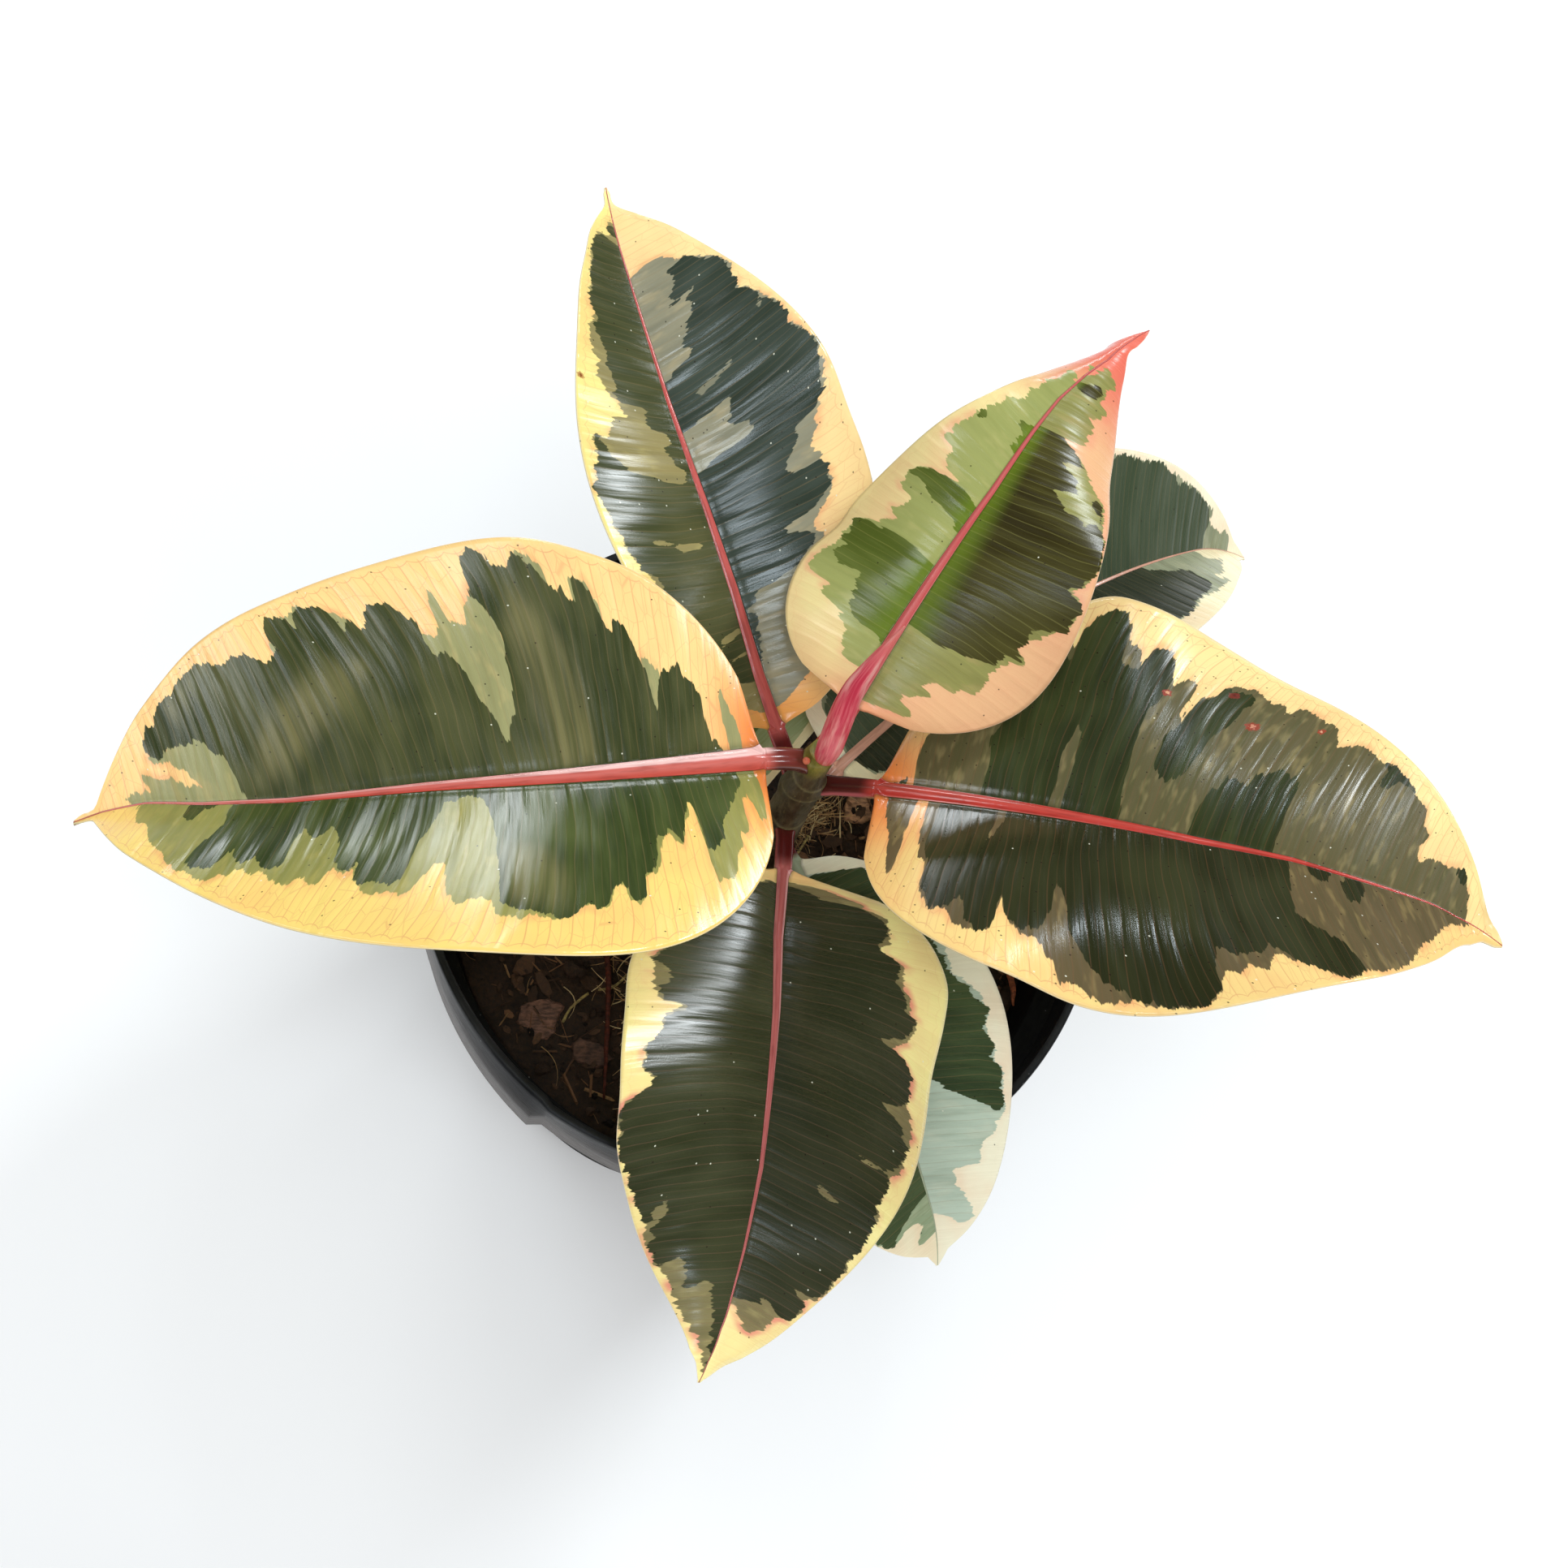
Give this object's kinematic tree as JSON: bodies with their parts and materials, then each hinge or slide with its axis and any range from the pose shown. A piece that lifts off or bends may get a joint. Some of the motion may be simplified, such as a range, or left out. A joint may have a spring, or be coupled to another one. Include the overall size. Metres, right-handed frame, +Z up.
{
  "type": "potted rubber plant",
  "caption": "Variegated rubber plant: upright stem with large oval cream-edged leaves and a red terminal bud, in a round tapered nursery pot with potting mix.",
  "frame": {"origin": "centre of the pot's flat base, on the surface it stands on", "axes": "+Z up along the stem and the pot's axis; the longest leaf points roughly along -X and the lowest front leaf roughly along -Y"},
  "size_m": [0.351, 0.2997, 0.2689],
  "materials": {
    "pot_plastic": "semi-matt moulded black plastic",
    "potting_mix": "moist dark peat and composted bark",
    "stem_bark": "olive brown young bark with pale rings",
    "bud_sheath": "pink red waxy sheath with pale bloom",
    "side_bud": "small red brown bud",
    "leaf": "glossy waxy leaf, green and grey green centre with cream margin and red midrib",
    "bark_chip": "rough red brown bark",
    "peat": "crumbly dark peat",
    "coir": "tan coir fibre",
    "dried_scale": "dry red brown bud scale"
  },
  "bodies": {
    "root": {"nursery_pot": "pot_plastic", "potting_mix": "potting_mix", "main_stem": "stem_bark", "bud_sheath": "bud_sheath", "side_bud": "side_bud", "leaf_west": "leaf", "leaf_north": "leaf", "leaf_northeast": "leaf", "leaf_east": "leaf", "leaf_south": "leaf", "leaf_low_southeast": "leaf", "leaf_low_northeast": "leaf", "leaf_low_northwest": "leaf", "bark_chip_1": "bark_chip", "bark_chip_2": "bark_chip", "bark_chip_3": "bark_chip", "bark_chip_4": "bark_chip", "bark_chip_5": "bark_chip", "bark_chip_6": "bark_chip", "bark_chip_7": "bark_chip", "bark_chip_8": "bark_chip", "bark_chip_9": "bark_chip", "bark_chip_10": "bark_chip", "peat_lump_1": "peat", "peat_lump_2": "peat", "peat_lump_3": "peat", "peat_lump_4": "peat", "peat_lump_5": "peat", "peat_lump_6": "peat", "peat_lump_7": "peat", "peat_lump_8": "peat", "coir_fibre_1": "coir", "coir_fibre_2": "coir", "coir_fibre_3": "coir", "coir_fibre_4": "coir", "coir_fibre_5": "coir", "coir_fibre_6": "coir", "coir_fibre_7": "coir", "coir_fibre_8": "coir", "dropped_scale_long": "dried_scale", "dropped_scale_short": "dried_scale"}
  },
  "joints": []
}
